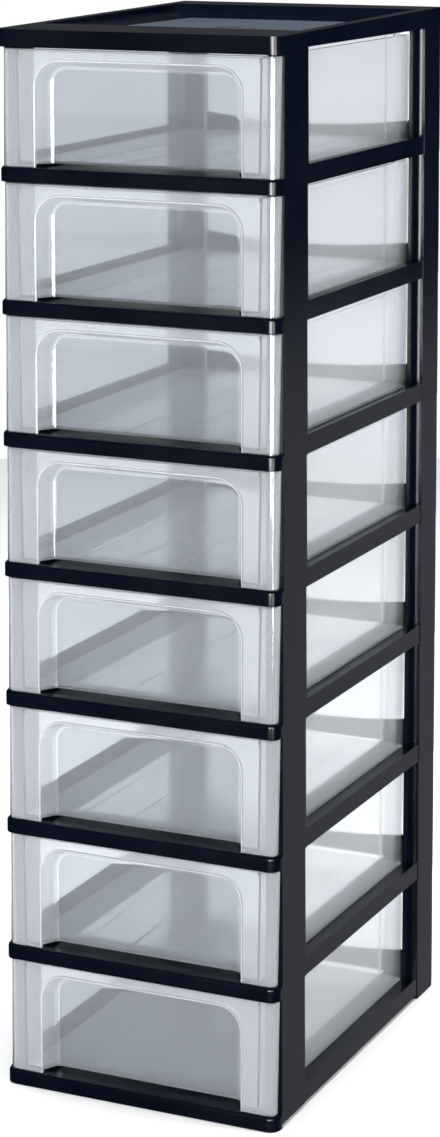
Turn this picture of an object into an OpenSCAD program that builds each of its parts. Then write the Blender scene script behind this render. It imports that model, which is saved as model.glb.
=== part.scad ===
// Tower of shallow plastic drawers: stacked open frames, a tray-topped cover and one drawer in each frame.
// Origin at the middle of the footprint, on the surface it stands on; +Z up, the drawers open toward -Y.

/* [Tower] */
// Number of drawers, each with a frame of its own
tier_count = 8; // [2:1:12]
// Height from one shelf to the next
tier_pitch = 113; // [100:1:140]
// Width of a frame over its side faces
tower_w = 258; // [236:2:300]
// Depth from the front of the lip to the rear face
tower_d = 368; // [340:2:420]
// Wall of the frame and cover mouldings
frame_wall = 2.2; // [1.8:0.1:2.6]
// Radius of the front corners, seen from above
front_corner_r = 10; // [6:1:12]
// Radius of the rear corners, seen from above
rear_corner_r = 3; // [2:0.5:5]

/* [Shelf] */
// Height of the front lip, up to the flat shelf behind it
lip_h = 12.5; // [11:0.5:14]
// How far the lip stands in front of the posts
lip_depth = 13; // [12:0.5:16]
// Depth of the front bar, lip included
front_bar_d = 46; // [40:1:56]
// How much lower the lip reaches than the underside of the sides
lip_drop = 3.5; // [2:0.5:5]
// Top of a side rail's outer web above the lower edge of the lip
rail_top = 20; // [18:0.5:22]
// Ledge of a side rail, which the drawer runs on, above the lower edge of the lip
ledge_top = 15; // [14.5:0.5:17]
// Width of a side rail, from the side face inward
rail_w = 41; // [30:1:48]
// Height of the flange under the inner edge of a rail
rail_flange_h = 8; // [5:0.5:10]
// How far the outer face of a rail is set back from the posts
rail_recess = 0.6; // [0.3:0.1:1.2]
// Lower edge of the rear beam above the lower edge of the lip
rear_beam_base = 7; // [5:0.5:9]
// Top of the rear beam, at its middle, above the lower edge of the lip
rear_beam_top = 23; // [21:1:28]
// How much higher the rear beam is at the posts than at its middle
rear_beam_rise = 9; // [2:0.5:12]

/* [Posts] */
// Width of a front post, seen from the side
front_post_w = 49; // [40:1:56]
// Width of the outer face of a rear post, seen from the side
rear_post_w = 40; // [34:1:48]
// Width of the recessed strip in front of a rear post
jamb_w = 13; // [10:1:36]
// Depth of that recess
jamb_recess = 7.5; // [1:0.5:9]
// Thickness of a post, from the side face inward
post_t = 15.7; // [14:0.1:17]
// Width of the flange across the back of a rear post
rear_flange_w = 24; // [22:1:30]
// How much a post leans in over its height
post_lean = 0.8; // [0:0.1:1.2]
// Height of the spigot that enters the moulding above, as far as the ledge there leaves room for it
spigot_h = 8; // [5:0.5:9]
// Clearance round a spigot in its socket
spigot_gap = 0.3; // [0.2:0.05:0.6]

/* [Cover] */
// Height of the cover at its front
cover_front_h = 15; // [14.5:0.5:18]
// Height of the cover at its rear
cover_rear_h = 21; // [18:0.5:26]
// How far the cover stands out past the frame on each side
cover_overhang = 1; // [0:0.5:2]
// Tray floor above the lower edge of the cover
tray_floor_h = 9; // [8:0.5:10]
// Rim between the tray and the side faces
tray_side_rim = 11; // [9:0.5:13]
// Rim between the tray and the front
tray_front_rim = 66; // [54:1:80]
// Rim between the tray and the rear
tray_rear_rim = 38; // [28:1:50]
// How far the walls of the tray slope in, from the rim to the floor
tray_slope = 26; // [20:1:34]
// Diameter of the round moulding mark in the middle of the tray
tray_mark_d = 22; // [12:1:30]
// Depth of that mark
tray_mark_depth = 0.5; // [0.2:0.1:1]

/* [Drawer] */
// Wall of the drawer
drawer_wall = 1.8; // [1.4:0.1:2.2]
// Running clearance over the rails
run_gap = 0.3; // [0.2:0.05:0.6]
// Clearance between a drawer side and a post
side_gap = 0.8; // [0.5:0.1:1.5]
// Clearance between the drawer front and what is round it
front_gap = 1.5; // [1:0.1:2.5]
// Clearance under the drawer front, over the shelf
shelf_gap = 0.3; // [0.2:0.05:1]
// Clearance between the closed drawer front and the posts behind it
closing_gap = 0.3; // [0.2:0.05:1]
// How far the drawer front sits behind the lip
front_setback = 3.5; // [2:0.5:4.5]
// Gap between each end of the drawer front and the side face
front_end_gap = 2.5; // [1.5:0.5:5]
// How much lower the rim of the drawer is than the top of its front
rim_drop = 1; // [0.5:0.5:3]
// How much narrower each end of the front is at the bottom
front_taper = 1.8; // [0:0.1:3]
// Corner radius of the drawer front, seen from above
front_r = 8; // [4:0.5:8.5]
// Rear corner radius of the drawer
drawer_rear_r = 4; // [3.5:0.5:20]
// Distance from the drawer to the rear face of the tower
drawer_rear_gap = 36; // [12:1:44]
// How much narrower each side of the drawer is at the bottom
drawer_taper = 1.5; // [0:0.1:2.5]
// Height of the thickened edge round the top of the drawer
rim_h = 4; // [2:0.5:6]
// Extra thickness of that edge
rim_extra = 1.2; // [0.5:0.1:2]
// Spacing of the ribs on the drawer floor
floor_rib_spacing = 43; // [30:1:60]
// Height of those ribs
floor_rib_h = 0.8; // [0.4:0.1:1.5]
// Width of those ribs
floor_rib_w = 1.6; // [1:0.1:3]
// Distance from each upright rib on the rear wall to the middle
rear_rib_x = 89.6; // [70:0.1:98]
// Width of an upright rib
rear_rib_w = 1.6; // [1:0.1:3]
// How far an upright rib stands into the drawer
rear_rib_h = 2; // [1:0.5:3]

/* [Finger recess] */
// Distance from the end of the drawer front to the recess
recess_end = 32; // [24:1:40]
// Band above the recess, at the front face
recess_top_band = 9.5; // [8:0.5:16]
// Corner radius of the recess at the front face
recess_r = 22; // [14:1:28]
// Depth of the recess
recess_depth = 15.5; // [12:0.5:20]
// How much the recess narrows at each side over its depth
recess_side_slope = 8; // [4:0.5:12]
// How much the top of the recess comes down over its depth
recess_top_slope = 6; // [3:0.5:9]
// Corner radius of the recess at its back
recess_back_r = 14; // [8:1:20]

/* [Travel] */
// How far a drawer slides out before its stops meet the shelf above
drawer_travel = 250; // [150:5:270]
// How much a stop overlaps the front bar above it
stop_bite = 1.5; // [1:0.5:3]
// Length of a stop
stop_l = 12; // [8:1:20]
// Clearance left at the stop when the drawer is out
stop_gap = 0.5; // [0.3:0.1:1]

/* [Hidden] */
$fn = 48;
frame_colour = [0.05, 0.06, 0.10];
drawer_colour = [0.80, 0.85, 0.90, 0.65];
cut = 1;
overlap = 0.5;
edge_r = 0.6;
slab = 0.05;

// Frame, derived
front_y = -tower_d / 2;
rear_y = tower_d / 2;
half_w = tower_w / 2;
post_y0 = front_y + lip_depth;
post_y1 = post_y0 + front_post_w;
rear_post_y0 = rear_y - rear_post_w;
jamb_y0 = rear_post_y0 - jamb_w;
post_top = tier_pitch + lip_drop;
bar_y1 = front_y + front_bar_d;
back_wall_y = rear_y - post_lean - frame_wall;
spigot_rise = min(spigot_h, ledge_top - frame_wall - lip_drop - spigot_gap);

// Cover, derived
cover_z = tier_count * tier_pitch;
cover_half_w = half_w + cover_overhang;
cover_slope = (cover_rear_h - cover_front_h) / tower_d;

// Drawer, derived, with heights above the lower edge of its frame's lip
drawer_half_w = half_w - post_t - side_gap;
drawer_z0 = ledge_top + run_gap;
drawer_z1 = tier_pitch - front_gap - rim_drop;
front_z0 = lip_h + shelf_gap;
front_z1 = tier_pitch - front_gap;
front_y0 = front_y + front_setback;
front_y1 = post_y0 - closing_gap;
front_half_w = half_w - front_end_gap;
front_corner = min(front_r, front_y1 - front_y0 - edge_r);
drawer_y1 = rear_y - drawer_rear_gap;
floor_z = drawer_z0 + drawer_wall;
stop_y0 = bar_y1 + stop_gap + drawer_travel;
stop_z1 = tier_pitch + lip_drop + stop_bite;
recess_half_w = front_half_w - recess_end;
recess_z1 = front_z1 - recess_top_band;

// Rounded rectangle, centred on X, with its own radii at the front and at the rear
module plan(half_width, y0, y1, r_front, r_rear) {
    translate([-half_width, y0 + r_front]) square([2 * half_width, y1 - y0 - r_front - r_rear]);
    translate([-half_width + r_front, y0]) square([2 * (half_width - r_front), r_front + overlap]);
    translate([-half_width + r_rear, y1 - r_rear - overlap])
        square([2 * (half_width - r_rear), r_rear + overlap]);
    for (side = [-1, 1]) {
        translate([side * (half_width - r_front), y0 + r_front]) circle(r_front);
        translate([side * (half_width - r_rear), y1 - r_rear]) circle(r_rear);
    }
}

// A profile drawn in X and Z, run along Y
module along_y(y0, y1) {
    translate([0, y1, 0]) rotate([90, 0, 0]) linear_extrude(y1 - y0) children();
}

// A profile drawn in Y and Z, run along X
module along_x(half_width) {
    translate([-half_width, 0, 0]) rotate([90, 0, 90]) linear_extrude(2 * half_width) children();
}

// The same shape on the right and on the left
module both_sides() {
    children();
    mirror([1, 0, 0]) children();
}

module box(x0, x1, y0, y1, z0, z1) {
    translate([x0, y0, z0]) cube([x1 - x0, y1 - y0, z1 - z0]);
}

// Space between the faces of the posts, which lean in a little from the rail to the top
module leaning_envelope() {
    top_half_w = half_w - post_lean;
    intersection() {
        translate([0, 0, -cut]) linear_extrude(post_top + spigot_h + 2 * cut)
            plan(half_w, front_y, rear_y, front_corner_r, rear_corner_r);
        along_y(front_y - cut, rear_y + cut) polygon([
            [-half_w, -cut], [half_w, -cut], [half_w, rail_top],
            [top_half_w, post_top], [top_half_w, post_top + spigot_h + cut],
            [-top_half_w, post_top + spigot_h + cut], [-top_half_w, post_top], [-half_w, rail_top]
        ]);
        along_x(half_w + cut) polygon([
            [front_y, -cut], [rear_y, -cut], [rear_y, rail_top],
            [rear_y - post_lean, post_top], [rear_y - post_lean, post_top + spigot_h + cut],
            [front_y, post_top + spigot_h + cut]
        ]);
    }
}

// Section of a right post, front or rear, drawn in by inset on every side
module post_section(is_front, inset = 0) {
    y0 = is_front ? post_y0 : rear_post_y0;
    y1 = is_front ? post_y1 : rear_y;
    translate([half_w - post_t + inset, y0 + inset])
        square([post_t - 2 * inset, y1 - y0 - 2 * inset]);
}

// Outside of a post, from the underside of its shelf to the underside of the next
module post_body(is_front) {
    translate([0, 0, lip_drop]) linear_extrude(tier_pitch) post_section(is_front);
}

// Hollow of a post, open below and closed by a plate at the top; a front post is open inward and behind too
module post_bore(is_front) {
    if (is_front)
        box(half_w - post_t - cut, half_w - frame_wall, post_y0 + frame_wall, post_y1 + cut,
            lip_drop - cut, post_top - frame_wall);
    else
        translate([0, 0, lip_drop - cut])
            linear_extrude(tier_pitch - frame_wall + cut) post_section(is_front, frame_wall);
}

// Tab on top of a front post, which enters the frame above behind its front bar
module front_spigot() {
    x1 = half_w - frame_wall - spigot_gap;
    box(x1 - frame_wall, x1, bar_y1 + spigot_gap, post_y1 - frame_wall - spigot_gap,
        post_top - frame_wall / 2, post_top + spigot_rise);
}

// Collar on top of a rear post, which enters the hollow of the post above
module rear_spigot() {
    inset = frame_wall + spigot_gap;
    difference() {
        translate([0, 0, post_top - frame_wall / 2])
            linear_extrude(spigot_rise + frame_wall / 2) post_section(false, inset);
        translate([0, 0, post_top])
            linear_extrude(spigot_rise + cut) post_section(false, inset + frame_wall);
    }
}

// Recessed strip in front of a rear post
module jamb() {
    box(half_w - jamb_recess - frame_wall, half_w - jamb_recess, jamb_y0, rear_post_y0 + frame_wall / 2,
        lip_drop, post_top);
}

// Side rail: outer web, a lower ledge that the drawer runs on, and a flange under the inner edge of the ledge
module side_rail() {
    ledge_z0 = ledge_top - frame_wall;
    box(half_w - rail_recess - frame_wall, half_w - rail_recess,
        post_y1 - frame_wall / 2, rear_post_y0 + frame_wall / 2, lip_drop, rail_top);
    box(half_w - rail_w, half_w - rail_recess - frame_wall / 2,
        post_y0 + frame_wall / 2, rear_post_y0 + frame_wall / 2, ledge_z0, ledge_top);
    box(half_w - rail_w, half_w - post_t + frame_wall / 2, rear_post_y0, back_wall_y + frame_wall / 2,
        ledge_z0, ledge_top);
    box(half_w - rail_w, half_w - rail_w + frame_wall, bar_y1 - frame_wall,
        back_wall_y + frame_wall / 2, ledge_top - rail_flange_h, ledge_top);
}

// Front bar: a channel open below, whose lip hangs lower than the rest
module front_bar() {
    difference() {
        union() {
            intersection() {
                linear_extrude(lip_h) plan(half_w, front_y, rear_y, front_corner_r, rear_corner_r);
                box(-half_w, half_w, front_y, post_y0, 0, lip_h);
            }
            box(-half_w, half_w, post_y0 - frame_wall, bar_y1, lip_drop, lip_h);
        }
        intersection() {
            translate([0, 0, -cut]) linear_extrude(lip_h - frame_wall + cut)
                plan(half_w - frame_wall, front_y + frame_wall, rear_y,
                     front_corner_r - frame_wall, rear_corner_r);
            box(-half_w, half_w, front_y, bar_y1 - frame_wall, -cut, lip_h);
        }
    }
}

// Beam across the back, whose top edge dips in an arc, and the flanges that carry it up the rear posts
module rear_beam() {
    x1 = half_w - post_t + frame_wall / 2;
    arc_r = (pow(x1, 2) + pow(rear_beam_rise, 2)) / (2 * rear_beam_rise);
    along_y(back_wall_y, back_wall_y + frame_wall) difference() {
        translate([-x1, rear_beam_base]) square([2 * x1, rear_beam_top + rear_beam_rise - rear_beam_base]);
        translate([0, rear_beam_top + arc_r]) circle(arc_r, $fn = 360);
    }
    both_sides()
        box(half_w - rear_flange_w, x1, back_wall_y, back_wall_y + frame_wall, lip_drop, post_top);
}

// Foot under each rear post of the lowest frame, level with the lip
module rear_foot() {
    linear_extrude(lip_drop + frame_wall) difference() {
        foot_section(0);
        foot_section(frame_wall);
    }
}

module foot_section(inset) {
    translate([half_w - post_t + inset, rear_post_y0 + inset])
        square([post_t - 2 * inset, rear_post_w - rear_corner_r - 2 * inset]);
}

module tier_frame(tier) {
    color(frame_colour) translate([0, 0, (tier - 1) * tier_pitch]) {
        difference() {
            intersection() {
                leaning_envelope();
                both_sides() for (is_front = [true, false]) post_body(is_front);
            }
            both_sides() for (is_front = [true, false]) post_bore(is_front);
        }
        front_bar();
        rear_beam();
        both_sides() {
            side_rail();
            jamb();
            front_spigot();
            rear_spigot();
        }
        if (tier == 1) both_sides() rear_foot();
    }
}

// Outside of the cover or, with an inset, its inside; its top rises evenly to the rear
module cover_body(inset) {
    intersection() {
        translate([0, 0, -cut]) linear_extrude(cover_rear_h + 2 * cut)
            plan(cover_half_w - inset, front_y + inset, rear_y - inset,
                 front_corner_r - inset, rear_corner_r);
        along_x(cover_half_w + cut) polygon([
            [front_y - cut, inset > 0 ? -cut : 0], [post_y0, inset > 0 ? -cut : 0],
            [post_y0, inset > 0 ? -cut : lip_drop], [rear_y + cut, inset > 0 ? -cut : lip_drop],
            [rear_y + cut, cover_rear_h - inset], [front_y - cut, cover_front_h - inset]
        ]);
    }
}

// Height of the cover's top at one place from front to rear
function cover_top(y) = cover_front_h + cover_slope * (y - front_y);

// Hollow of the tray, whose walls slope in from the rim to a flat floor; lowered by a wall, its outside
module tray_hollow(lower = 0) {
    x1 = cover_half_w - tray_side_rim;
    y0 = front_y + tray_front_rim;
    y1 = rear_y - tray_rear_rim;
    top = cover_rear_h + cut;
    translate([0, 0, -lower]) intersection() {
        along_y(y0 - cut, y1 + cut) polygon([
            [-x1 + tray_slope, tray_floor_h], [-x1, cover_front_h], [-x1, top],
            [x1, top], [x1, cover_front_h], [x1 - tray_slope, tray_floor_h]
        ]);
        along_x(x1 + cut) polygon([
            [y0 + tray_slope, tray_floor_h], [y0, cover_top(y0)], [y0, top],
            [y1, top], [y1, cover_top(y1)], [y1 - tray_slope, tray_floor_h]
        ]);
    }
}

// Web under the cover that the stops of the highest drawer meet
module cover_web() {
    x1 = cover_half_w - frame_wall / 2;
    box(-x1, x1, bar_y1 - frame_wall, bar_y1, lip_drop, cover_front_h);
}

// Walls under the cover that stand on a post and hold its spigot
module cover_socket(is_front) {
    translate([0, 0, lip_drop]) linear_extrude(cover_rear_h) post_section(is_front);
}

module socket_bore(is_front) {
    translate([0, 0, lip_drop - cut])
        linear_extrude(spigot_h + spigot_gap + cut) post_section(is_front, frame_wall);
}

module top_cover() {
    color(frame_colour) translate([0, 0, cover_z]) difference() {
        union() {
            difference() {
                cover_body(0);
                cover_body(frame_wall);
            }
            intersection() {
                cover_body(0);
                union() {
                    tray_hollow(frame_wall);
                    cover_web();
                    both_sides() for (is_front = [true, false]) cover_socket(is_front);
                }
            }
        }
        tray_hollow();
        both_sides() for (is_front = [true, false]) socket_bore(is_front);
        translate([0, 0, tray_floor_h - tray_mark_depth]) cylinder(d = tray_mark_d, h = cut);
    }
}

// Outside of the drawer box or, with an inset, its inside; the sides draw in toward the floor
module drawer_body(inset, z0, z1) {
    intersection() {
        translate([0, 0, z0]) linear_extrude(z1 - z0)
            plan(drawer_half_w - inset, front_y0 + drawer_wall - overlap, drawer_y1 - inset,
                 edge_r, drawer_rear_r - inset);
        along_y(front_y, rear_y) polygon([
            [-drawer_half_w + inset + drawer_taper, drawer_z0], [-drawer_half_w + inset, drawer_z1],
            [-drawer_half_w + inset, drawer_z1 + cut], [drawer_half_w - inset, drawer_z1 + cut],
            [drawer_half_w - inset, drawer_z1], [drawer_half_w - inset - drawer_taper, drawer_z0]
        ]);
    }
}

// Outside of the drawer front or, with an inset, its inside
module front_body(inset) {
    back = front_y1 + (inset > 0 ? cut : 0);
    intersection() {
        translate([0, 0, front_z0]) linear_extrude(front_z1 - front_z0 - inset)
            plan(front_half_w - inset, front_y0 + inset, back, front_corner - inset, edge_r);
        along_y(front_y, back) polygon([
            [-front_half_w + inset + front_taper, front_z0], [-front_half_w + inset, front_z1],
            [front_half_w - inset, front_z1], [front_half_w - inset - front_taper, front_z0]
        ]);
    }
}

// Recess outline at one depth: straight sides, round upper corners, open below
module recess_outline(half_width, top, r, base) {
    translate([-half_width, base]) square([2 * half_width, top - r - base]);
    for (side = [-1, 1]) translate([side * (half_width - r), top - r]) circle(r);
}

// Space of the finger recess, grown by a wall for its outside
module recess(grow, base) {
    front_half = recess_half_w + grow;
    back_half = recess_half_w - recess_side_slope + grow;
    back_y = front_y0 + recess_depth + grow;
    hull() {
        along_y(front_y0 + (grow > 0 ? drawer_wall / 2 : -slab), front_y0 + drawer_wall / 2 + slab)
            recess_outline(front_half, recess_z1 + grow, recess_r + grow, base, $fn = 32);
        along_y(back_y - slab, back_y)
            recess_outline(back_half, recess_z1 - recess_top_slope + grow, recess_back_r + grow,
                           base, $fn = 32);
    }
}

// Upright rib on the inner side of the rear wall, from the floor to the rim
module rear_rib() {
    inner_y = drawer_y1 - drawer_wall;
    box(rear_rib_x - rear_rib_w / 2, rear_rib_x + rear_rib_w / 2, inner_y - rear_rib_h,
        inner_y + drawer_wall / 2, floor_z - drawer_wall / 2, drawer_z1 - rim_h / 2);
}

// Stop on the side wall, which meets the front bar of the moulding above
module drawer_stop() {
    box(drawer_half_w - drawer_wall - rim_extra, drawer_half_w - drawer_taper / 2,
        stop_y0, stop_y0 + stop_l, drawer_z1 - rim_h / 2, stop_z1);
}

module drawer(tier) {
    color(drawer_colour) translate([0, 0, (tier - 1) * tier_pitch]) difference() {
        union() {
            difference() {
                front_body(0);
                front_body(drawer_wall);
            }
            difference() {
                drawer_body(0, drawer_z0, drawer_z1);
                drawer_body(drawer_wall, floor_z, drawer_z1 - rim_h);
                drawer_body(drawer_wall + rim_extra, floor_z, drawer_z1 + cut);
            }
            for (n = [-1.5:1:1.5])
                box(n * floor_rib_spacing - floor_rib_w / 2, n * floor_rib_spacing + floor_rib_w / 2,
                    front_y0 + recess_depth + drawer_wall / 2, drawer_y1 - drawer_rear_r,
                    floor_z - drawer_wall / 2, floor_z + floor_rib_h);
            recess(drawer_wall, drawer_z0);
            both_sides() {
                rear_rib();
                drawer_stop();
            }
        }
        recess(0, front_z0 - cut);
    }
}

top_cover();
for (tier = [1:tier_count]) {
    tier_frame(tier);
    drawer(tier);
}
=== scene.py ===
"""Plastic drawer tower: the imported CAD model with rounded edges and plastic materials, in a small studio."""
import math

import bmesh
import bpy
from mathutils import Matrix, Vector


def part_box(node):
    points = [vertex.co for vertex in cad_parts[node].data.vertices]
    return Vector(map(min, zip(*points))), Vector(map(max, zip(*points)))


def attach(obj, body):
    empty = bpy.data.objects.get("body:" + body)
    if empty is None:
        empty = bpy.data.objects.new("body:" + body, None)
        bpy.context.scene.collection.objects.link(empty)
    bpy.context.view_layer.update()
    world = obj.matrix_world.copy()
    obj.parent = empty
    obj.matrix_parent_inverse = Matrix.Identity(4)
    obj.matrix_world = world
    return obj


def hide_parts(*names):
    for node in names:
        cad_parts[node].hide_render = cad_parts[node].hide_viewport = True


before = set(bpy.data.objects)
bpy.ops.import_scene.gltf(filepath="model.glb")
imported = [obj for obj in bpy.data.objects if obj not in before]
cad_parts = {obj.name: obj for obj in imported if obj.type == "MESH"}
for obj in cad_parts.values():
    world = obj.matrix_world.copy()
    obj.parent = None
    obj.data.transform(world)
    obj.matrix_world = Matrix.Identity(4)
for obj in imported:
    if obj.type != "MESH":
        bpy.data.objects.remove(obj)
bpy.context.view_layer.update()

scene = bpy.context.scene


# ---------------------------------------------------------------- sizes, in metres

MM = 0.001

# Read from the frame
TIERS = sum(name.startswith("tier_frame_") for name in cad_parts)
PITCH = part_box("drawer_2")[0].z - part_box("drawer_1")[0].z
FRAME_LOW, FRAME_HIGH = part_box("tier_frame_1")
DRAWER_LOW, DRAWER_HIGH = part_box("drawer_1")
FRONT_Y, REAR_Y, HALF_W = FRAME_LOW.y, FRAME_HIGH.y, FRAME_HIGH.x
FRONT_FACE_Y, REAR_FACE_Y = DRAWER_LOW.y, DRAWER_HIGH.y

# Repeated from the CAD's source; heights are above the lower edge of the tier or of the cover
LIP_H, LIP_DEPTH, LIP_CORNER_R = 12.5 * MM, 13 * MM, 10 * MM
REAR_POST_W, JAMB_RECESS = 40 * MM, 7.5 * MM
COVER_FRONT_H, TRAY_FLOOR = 15 * MM, 9 * MM
DRAWER_WALL, DRAWER_UNDERSIDE = 1.8 * MM, 15.3 * MM
FRONT_TOP, RIM_TOP = 111.5 * MM, 110.5 * MM
RECESS_DEPTH, RECESS_HALF_W, RECESS_TOP = 15.5 * MM, 94.5 * MM, 102 * MM
RECESS_BACK_HALF_W, RECESS_BACK_TOP = 86.5 * MM, 96 * MM
REAR_RIB_X, REAR_RIB_H = 89.6 * MM, 2 * MM

POST_Y0 = FRONT_Y + LIP_DEPTH
REAR_POST_Y0 = REAR_Y - REAR_POST_W
JAMB_X = HALF_W - JAMB_RECESS
RECESS_BACK_Y = FRONT_FACE_Y + RECESS_DEPTH

# Radii of the rounded edges
LIP_TOP_R, LIP_BOTTOM_R, POST_R, JAMB_FOOT_R = 2.6 * MM, 1.0 * MM, 0.9 * MM, 6.0 * MM
COVER_R, TRAY_R = 2.6 * MM, 1.2 * MM
RECESS_EDGE_R, RECESS_CORNER_R, RECESS_REAR_R = 3.5 * MM, 3.5 * MM, 5.0 * MM
FRONT_TOP_R, RIM_R = 0.7 * MM, 0.5 * MM

# How far from its place a point may lie and still be found, and how long an edge has to be to be rounded
CLOSE, SLACK, MARGIN = 0.15 * MM, 0.3 * MM, 3 * MM
FACET, TRAY_EDGE, LONG_EDGE = 0.4 * MM, 4 * MM, 30 * MM


# ---------------------------------------------------------------- materials

def new_material(name):
    """A new material, with its nodes, its links and its shader."""
    mat = bpy.data.materials.new(name)
    mat.use_nodes = True
    nodes, links = mat.node_tree.nodes, mat.node_tree.links
    return mat, nodes, links, nodes["Principled BSDF"]


def noise(nodes, links, coords, scale, detail, roughness=0.5):
    """Soft clouds from 0 to 1, fixed to the object."""
    n = nodes.new("ShaderNodeTexNoise")
    n.inputs["Scale"].default_value = scale
    n.inputs["Detail"].default_value = detail
    n.inputs["Roughness"].default_value = roughness
    links.new(coords.outputs["Object"], n.inputs["Vector"])
    return n.outputs["Fac"]


def between(nodes, links, factor, low, high):
    """A number that runs from low to high as factor goes from 0.3 to 0.7."""
    m = nodes.new("ShaderNodeMapRange")
    m.inputs["From Min"].default_value = 0.3
    m.inputs["From Max"].default_value = 0.7
    m.inputs["To Min"].default_value = low
    m.inputs["To Max"].default_value = high
    links.new(factor, m.inputs["Value"])
    return m.outputs["Result"]


def tint(nodes, links, factor, a, b):
    """A colour between a and b. A Mix node has its colours on inputs 6 and 7 and on output 2."""
    m = nodes.new("ShaderNodeMix")
    m.data_type = "RGBA"
    m.inputs[6].default_value = (*a, 1)
    m.inputs[7].default_value = (*b, 1)
    links.new(between(nodes, links, factor, 0, 1), m.inputs["Factor"])
    return m.outputs[2]


def bump(nodes, links, shader, height, strength, distance):
    b = nodes.new("ShaderNodeBump")
    b.inputs["Strength"].default_value = strength
    b.inputs["Distance"].default_value = distance
    links.new(height, b.inputs["Height"])
    links.new(b.outputs["Normal"], shader.inputs["Normal"])


def satin_black(name, dark, light, roughness, specular, grain_scale, grain):
    """Near-black navy polypropylene with a fine moulded grain. Its roughness varies between two values."""
    mat, nodes, links, shader = new_material(name)
    coords = nodes.new("ShaderNodeTexCoord")
    cloud = noise(nodes, links, coords, scale=14, detail=4)
    fine = noise(nodes, links, coords, scale=grain_scale, detail=2, roughness=0.6)
    links.new(tint(nodes, links, cloud, dark, light), shader.inputs["Base Color"])
    links.new(between(nodes, links, cloud, *roughness), shader.inputs["Roughness"])
    shader.inputs["IOR"].default_value = 1.49
    shader.inputs["Specular IOR Level"].default_value = specular
    bump(nodes, links, shader, fine, strength=grain, distance=0.4 * MM)
    return mat


def frosted(name, light, dark, transmission, roughness, coat=0.8):
    """Translucent polypropylene: shapes behind it show softly. It has a glossy skin.

    The low IOR keeps what is behind a wall in its place, as two parallel faces of real plastic do.
    """
    mat, nodes, links, shader = new_material(name)
    coords = nodes.new("ShaderNodeTexCoord")
    cloud = noise(nodes, links, coords, scale=9, detail=3)
    flow = noise(nodes, links, coords, scale=55, detail=2)
    links.new(tint(nodes, links, cloud, dark, light), shader.inputs["Base Color"])
    links.new(between(nodes, links, flow, *roughness), shader.inputs["Roughness"])
    shader.inputs["IOR"].default_value = 1.12
    shader.inputs["Transmission Weight"].default_value = transmission
    shader.inputs["Coat Weight"].default_value = coat
    shader.inputs["Coat Roughness"].default_value = 0.10
    shader.inputs["Coat IOR"].default_value = 1.45
    bump(nodes, links, shader, flow, strength=0.006, distance=1 * MM)
    return mat


SATIN = satin_black("frame_plastic_satin", dark=(0.0008, 0.0020, 0.0062), light=(0.0018, 0.0034, 0.0090),
                    roughness=(0.20, 0.27), specular=0.10, grain_scale=1800, grain=0.10)
# The tray floor's grain is real. Its colour, much lighter than the satin black, is a painted sheen for the
# light its rough surface catches from above.
GRAINED_PAINTED_SHEEN = satin_black("frame_plastic_grained_painted_sheen", dark=(0.040, 0.050, 0.068), light=(0.048, 0.059, 0.078),
                      roughness=(0.52, 0.60), specular=0.40, grain_scale=900, grain=0.35)
CLEAR = frosted("drawer_plastic_frosted", light=(0.945, 0.957, 0.978), dark=(0.920, 0.938, 0.965),
                transmission=0.87, roughness=(0.08, 0.12))
# Whiter, less clear plastic: a painted highlight on the rounded edges and the rear ribs, for the light lines
# seen along them.
MILKY_PAINTED_HIGHLIGHT = frosted("drawer_plastic_milky_painted_highlight", light=(0.960, 0.972, 0.988), dark=(0.935, 0.952, 0.975),
                transmission=0.50, roughness=(0.18, 0.24))
FLOOR = frosted("drawer_plastic_floor", light=(0.955, 0.967, 0.982), dark=(0.935, 0.950, 0.968),
                transmission=0.70, roughness=(0.14, 0.18), coat=0.25)
# Darker plastic on the back wall of the finger recess: painted shade in the recess.
RECESS_BACK_PAINTED_SHADE = frosted("drawer_plastic_recess_painted_shade", light=(0.670, 0.698, 0.730), dark=(0.645, 0.678, 0.715),
                transmission=0.88, roughness=(0.08, 0.12))
# The fronts' plastic is a darker copy of the clear plastic. This is painted shade, because the fronts get less
# light than the side walls.
FRONT_PAINTED_SHADE = frosted("drawer_plastic_front_painted_shade", light=(0.740, 0.764, 0.800), dark=(0.715, 0.742, 0.782),
                transmission=0.72, roughness=(0.16, 0.20))
FRAME_MATERIALS = [SATIN]
COVER_MATERIALS = [SATIN, GRAINED_PAINTED_SHEEN]
DRAWER_MATERIALS = [CLEAR, MILKY_PAINTED_HIGHLIGHT, FLOOR, RECESS_BACK_PAINTED_SHADE, FRONT_PAINTED_SHADE]


# ---------------------------------------------------------------- shapes

def near(value, target, tolerance=CLOSE):
    """Whether value is target, give or take the tolerance."""
    return abs(value - target) < tolerance


def load_cad(node):
    """A working copy of a CAD node's mesh, with its flat faces joined."""
    bm = bmesh.new()
    bm.from_mesh(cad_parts[node].data)
    bmesh.ops.remove_doubles(bm, verts=bm.verts, dist=1e-6)
    bmesh.ops.dissolve_limit(bm, angle_limit=math.radians(0.6), verts=bm.verts, edges=bm.edges)
    return bm


def edges_where(bm, test, least_angle, least_length, convex):
    """The convex or the concave edges that are sharp and long enough, and whose two ends satisfy test."""
    found = []
    for e in bm.edges:
        if len(e.link_faces) != 2 or e.calc_length() < least_length:
            continue
        angle = e.calc_face_angle_signed(0)
        if abs(angle) < math.radians(least_angle) or (angle > 0) != convex:
            continue
        if test(e.verts[0].co) and test(e.verts[1].co):
            found.append(e)
    return found


def round_where(bm, test, radius, segments, least_angle=60, least_length=FACET, convex=True, material=0):
    """Rounds the edges that edges_where finds. The new faces get the material in the place given."""
    edges = edges_where(bm, test, least_angle, least_length, convex)
    if edges:
        bmesh.ops.bevel(bm, geom=edges, offset=radius, offset_type="OFFSET", segments=segments, profile=0.5,
                        affect="EDGES", clamp_overlap=True, miter_outer="ARC", miter_inner="SHARP",
                        material=material)


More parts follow.
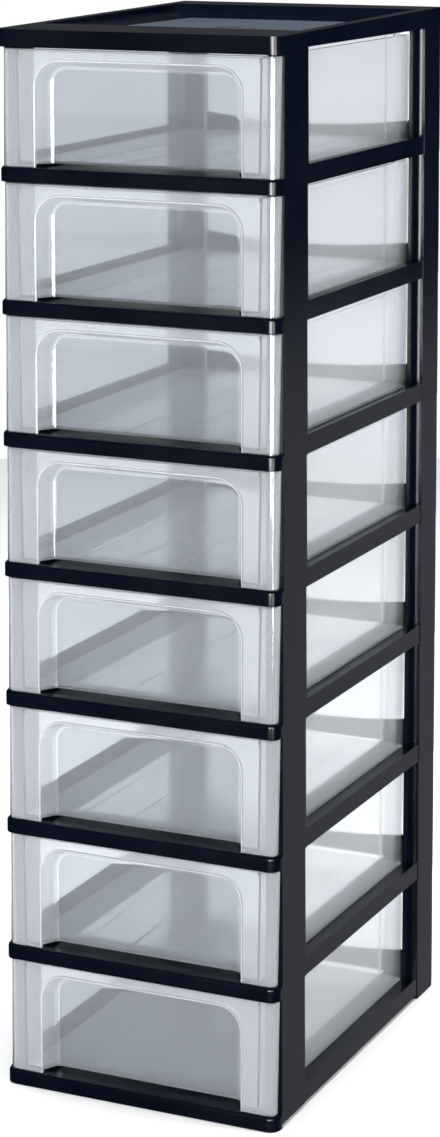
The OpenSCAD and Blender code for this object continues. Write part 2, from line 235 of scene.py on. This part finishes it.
def to_mesh(bm, name, materials, sharp=38):
    """A mesh from the working copy, smooth except where its faces meet at more than sharp degrees."""
    for f in bm.faces:
        f.smooth = True
    for e in bm.edges:
        if len(e.link_faces) == 2:
            e.smooth = e.calc_face_angle(0) < math.radians(sharp)
    mesh = bpy.data.meshes.new(name)
    bm.to_mesh(mesh)
    for m in materials:
        mesh.materials.append(m)
    return mesh


def place(mesh, name, node, body, lift=0.0):
    """Puts a mesh in the scene, lifted by some tiers, in the place of a CAD node."""
    piece = bpy.data.objects.new(name, mesh)
    scene.collection.objects.link(piece)
    piece.location.z = lift
    w = piece.modifiers.new("even_shading", "WEIGHTED_NORMAL")
    w.keep_sharp = True
    w.weight = 60
    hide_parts(node)
    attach(piece, body)


def dress_frame(tier):
    """A tier's frame with a rounded lip, rounded posts and a soft corner at the foot of each jamb strip."""
    z = (tier - 1) * PITCH

    def lip_top(p):
        return p.y < POST_Y0 + SLACK and near(p.z, z + LIP_H)

    def lip_bottom(p):
        x, y = abs(p.x) - (HALF_W - LIP_CORNER_R), p.y - (FRONT_Y + LIP_CORNER_R)
        return near(p.z, z) and y < SLACK and math.hypot(x, y) > LIP_CORNER_R - 0.5 * MM

    def outer_face(p):
        return abs(p.x) > HALF_W - MARGIN

    def jamb_foot(p):
        return near(abs(p.x), JAMB_X, SLACK) and near(p.y, REAR_POST_Y0, SLACK)

    bm = load_cad(f"tier_frame_{tier}")
    round_where(bm, lip_top, LIP_TOP_R, 4)
    round_where(bm, lip_bottom, LIP_BOTTOM_R, 2)
    round_where(bm, outer_face, POST_R, 3, least_angle=40, least_length=LONG_EDGE)
    round_where(bm, jamb_foot, JAMB_FOOT_R, 5, least_length=LONG_EDGE, convex=False)
    return to_mesh(bm, f"frame_moulding_{tier}", FRAME_MATERIALS)


def dress_cover():
    """The cover with a rounded rim and tray, and a grained tray floor whose lighter colour is a painted sheen.
    """
    z = TIERS * PITCH
    edge_strip = 9.5 * MM
    rear_strip = 4 * MM

    def on_top(p):
        return p.z > z + COVER_FRONT_H - SLACK

    def outer_rim(p):
        return on_top(p) and (abs(p.x) > HALF_W - edge_strip or p.y < FRONT_Y + edge_strip
                              or p.y > REAR_Y - rear_strip)

    def tray_rim(p):
        return on_top(p) and not outer_rim(p)

    bm = load_cad("top_cover")
    round_where(bm, outer_rim, COVER_R, 4, least_angle=45)
    round_where(bm, tray_rim, TRAY_R, 3, least_angle=8, least_length=TRAY_EDGE)
    mesh = to_mesh(bm, "cover_moulding", COVER_MATERIALS)
    for poly in mesh.polygons:
        # The tray floor gets the lighter grained plastic: a painted sheen.
        if near(poly.center.z, z + TRAY_FLOOR, 0.8 * MM) and poly.normal.z > 0.9:
            poly.material_index = COVER_MATERIALS.index(GRAINED_PAINTED_SHEEN)
    return mesh


def drawer_plastic(face):
    """The plastic of a drawer's face, by where it lies: floor, recess back with painted shade, front with
    painted shade, a rounded edge or a rear rib with a painted highlight, or elsewhere.
    """
    c, n = face.calc_center_median(), face.normal
    level, upright, facing_y = abs(n.z) > 0.9, abs(n.z) < 0.5, abs(n.y) > 0.9
    in_floor = near(c.z, DRAWER_UNDERSIDE + DRAWER_WALL / 2, DRAWER_WALL)
    behind_recess = c.y > RECESS_BACK_Y + DRAWER_WALL
    if level and in_floor and behind_recess:
        return FLOOR
    in_recess = abs(c.x) < RECESS_HALF_W + MARGIN and c.z < RECESS_TOP + MARGIN
    in_back_wall = near(c.y, RECESS_BACK_Y + DRAWER_WALL / 2, DRAWER_WALL)
    # Painted shade: the recess's back wall gets the darker plastic.
    if facing_y and in_recess and in_back_wall:
        return RECESS_BACK_PAINTED_SHADE
    rounded = face.material_index == DRAWER_MATERIALS.index(MILKY_PAINTED_HIGHLIGHT)
    # Painted shade: the front's flat outer skin gets the darker plastic.
    if c.y < RECESS_BACK_Y - 1 * MM and not rounded:
        return FRONT_PAINTED_SHADE
    at_rear_wall = c.y > REAR_FACE_Y - DRAWER_WALL - REAR_RIB_H - 1 * MM
    on_rib = near(abs(c.x), REAR_RIB_X, 1.5 * MM)
    # Painted highlight: the rounded edges and the rear ribs get the whiter plastic.
    if rounded or (upright and at_rear_wall and on_rib):
        return MILKY_PAINTED_HIGHLIGHT
    return CLEAR


def dress_drawer():
    """The lowest drawer with a rounded finger recess, front and rim, and a plastic for each of its faces:
    painted shade on the front and in the recess, and a painted highlight on the rounded edges and rear ribs.
    """
    highlight_paint_index = DRAWER_MATERIALS.index(MILKY_PAINTED_HIGHLIGHT)

    def recess_edge(p):
        return near(p.y, FRONT_FACE_Y) and abs(p.x) < RECESS_HALF_W + MARGIN and p.z < RECESS_TOP + MARGIN

    def recess_corner(p):
        return near(p.y, RECESS_BACK_Y, SLACK) and abs(p.x) < RECESS_BACK_HALF_W + MARGIN

    def recess_rear(p):
        beside = abs(p.x) < RECESS_BACK_HALF_W + MARGIN and p.z < RECESS_BACK_TOP + MARGIN
        return near(p.y, RECESS_BACK_Y + DRAWER_WALL, SLACK) and beside

    def front_top(p):
        return near(p.z, FRONT_TOP) and p.y < POST_Y0 - 1 * MM

    def rim(p):
        return near(p.z, RIM_TOP) and p.y > POST_Y0

    bm = load_cad("drawer_1")
    # The rounded recess outline, the front's top edge and the rim get the whiter plastic, as a painted
    # highlight.
    round_where(bm, recess_edge, RECESS_EDGE_R, 5, least_angle=25, material=highlight_paint_index)
    round_where(bm, recess_corner, RECESS_CORNER_R, 6, least_angle=25, convex=False)
    round_where(bm, recess_rear, RECESS_REAR_R, 6, least_angle=25)
    round_where(bm, front_top, FRONT_TOP_R, 3, least_angle=45, material=highlight_paint_index)
    round_where(bm, rim, RIM_R, 2, least_angle=45, material=highlight_paint_index)
    bm.normal_update()
    for face in bm.faces:
        face.material_index = DRAWER_MATERIALS.index(drawer_plastic(face))
    return to_mesh(bm, "drawer_moulding_1", DRAWER_MATERIALS)


lowest_frame = dress_frame(1)
upper_frame = dress_frame(2)
drawer = dress_drawer()
place(dress_cover(), "cover_piece", "top_cover", "tower")
for tier in range(1, TIERS + 1):
    frame_mesh, copied_tier = (lowest_frame, 1) if tier == 1 else (upper_frame, 2)
    place(frame_mesh, f"frame_piece_{tier}", f"tier_frame_{tier}", "tower",
          (tier - copied_tier) * PITCH)
    place(drawer, f"drawer_piece_{tier}", f"drawer_{tier}", f"drawer_{tier}",
          (tier - 1) * PITCH)


# ---------------------------------------------------------------- floor, light, camera

def stage_floor(radius, depth=0.5 * MM):
    """A round white floor, a little below the feet."""
    mat, nodes, links, shader = new_material("floor_white")
    coords = nodes.new("ShaderNodeTexCoord")
    soft = noise(nodes, links, coords, scale=3, detail=2)
    white = tint(nodes, links, soft, (0.92, 0.92, 0.92), (0.94, 0.94, 0.94))
    links.new(white, shader.inputs["Base Color"])
    shader.inputs["Roughness"].default_value = 0.8
    shader.inputs["Specular IOR Level"].default_value = 0.1
    bm = bmesh.new()
    bmesh.ops.create_circle(bm, cap_ends=True, segments=96, radius=radius)
    mesh = bpy.data.meshes.new("floor")
    bm.to_mesh(mesh)
    mesh.materials.append(mat)
    floor = bpy.data.objects.new("floor", mesh)
    scene.collection.objects.link(floor)
    floor.location.z = -depth
    floor.visible_glossy = False


def softbox(name, at, towards, width, height, watts, lights=True, shines=True):
    """A rectangle of light, which lights surfaces, shows in glossy ones, or does both."""
    data = bpy.data.lights.new(name, "AREA")
    data.shape = "RECTANGLE"
    data.size, data.size_y = width, height
    data.energy = watts
    lamp = bpy.data.objects.new(name, data)
    lamp.location = at
    lamp.rotation_euler = (Vector(towards) - Vector(at)).to_track_quat("-Z", "Y").to_euler()
    lamp.visible_camera = False
    lamp.visible_transmission = False
    lamp.visible_diffuse = lights
    lamp.visible_glossy = shines
    scene.collection.objects.link(lamp)


def studio_world(seen, seen_through, mirrored, fill):
    """A white backdrop with its own strength for the camera, clear plastic, glossy plastic and as a light."""
    world = bpy.data.worlds.new("studio")
    scene.world = world
    world.use_nodes = True
    nodes, links = world.node_tree.nodes, world.node_tree.links
    nodes.clear()
    path = nodes.new("ShaderNodeLightPath")

    def background(strength, colour):
        node = nodes.new("ShaderNodeBackground")
        node.inputs["Color"].default_value = (*colour, 1)
        node.inputs["Strength"].default_value = strength
        return node.outputs[0]

    shade = background(fill, (0.93, 0.96, 1.0))
    for ray, strength, colour in (("Is Glossy Ray", mirrored, (0.90, 0.95, 1.0)),
                                  ("Is Transmission Ray", seen_through, (0.93, 0.96, 1.0)),
                                  ("Is Camera Ray", seen, (1, 1, 1))):
        mix = nodes.new("ShaderNodeMixShader")
        links.new(path.outputs[ray], mix.inputs["Fac"])
        links.new(shade, mix.inputs[1])
        links.new(background(strength, colour), mix.inputs[2])
        shade = mix.outputs[0]
    links.new(shade, nodes.new("ShaderNodeOutputWorld").inputs["Surface"])


def light_studio():
    """Lamps that light the object, and strips and cards that only show as reflections in its plastic."""
    softbox("key_front_left", at=(-1.5, -1.9, 0.8), towards=(0, 0, 0.3),
            width=1.4, height=1.4, watts=42, shines=False)
    softbox("overhead", at=(0.1, 0.1, 2.6), towards=(0, 0, 0),
            width=2.4, height=2.4, watts=90, shines=False)
    softbox("right_strip", at=(1.67, -2.02, 0.60), towards=(0.1, -0.15, 0.5),
            width=0.3, height=1.7, watts=130, lights=False)
    softbox("front_strip", at=(0.72, -2.60, 0.75), towards=(0.1, -0.15, 0.6),
            width=0.7, height=1.5, watts=420, lights=False)
    softbox("back_card", at=(-1.35, 2.90, 1.45), towards=(0, 0, 0.9),
            width=3.0, height=1.4, watts=1.1, lights=False)
    # Partly below the floor, which glossy rays don't see: it stands for the floor's glow in the lower posts
    softbox("side_glow", at=(1.15, 2.10, -0.45), towards=(0.1, 0, 0.5),
            width=2.2, height=1.5, watts=5, lights=False)
    softbox("right_fill", at=(2.20, 0.55, 0.90), towards=(0.1, 0, 0.5),
            width=0.8, height=1.4, watts=40, shines=False)


def make_camera():
    """The photograph's view, solved from corners of the shelves.

    Its turn, tilt and focal length were fitted, and so was where the point looked at lies from the camera.
    The optical axis meets the picture above its middle, which the shift repeats.
    """
    azimuth, pitch = math.radians(24.786), math.radians(7.509)
    focal_px, height_px, axis_y_px = 3001.64, 1137, 240
    target = Vector((0.001, -0.006, 0.450))
    to_right, to_up, distance = 5.479 * MM, -274.754 * MM, 2668.40 * MM
    sensor_mm = 36

    back = Vector((math.sin(azimuth) * math.cos(pitch),
                   -math.cos(azimuth) * math.cos(pitch),
                   math.sin(pitch)))
    right = Vector((0, 0, 1)).cross(back).normalized()
    up = back.cross(right)
    centre = target - (right * to_right + up * to_up - back * distance)
    data = bpy.data.cameras.new("camera")
    data.sensor_width = sensor_mm
    data.lens = focal_px / height_px * sensor_mm
    data.shift_y = (axis_y_px - height_px / 2) / height_px
    data.clip_start, data.clip_end = 0.05, 100
    camera = bpy.data.objects.new("camera", data)
    rotation = Matrix((right, up, back)).transposed()
    camera.matrix_world = Matrix.Translation(centre) @ rotation.to_4x4()
    scene.collection.objects.link(camera)
    scene.camera = camera


stage_floor(radius=2.6)
studio_world(seen=1.0, seen_through=0.97, mirrored=0.015, fill=0.42)
light_studio()
make_camera()
scene.view_settings.view_transform = "Standard"
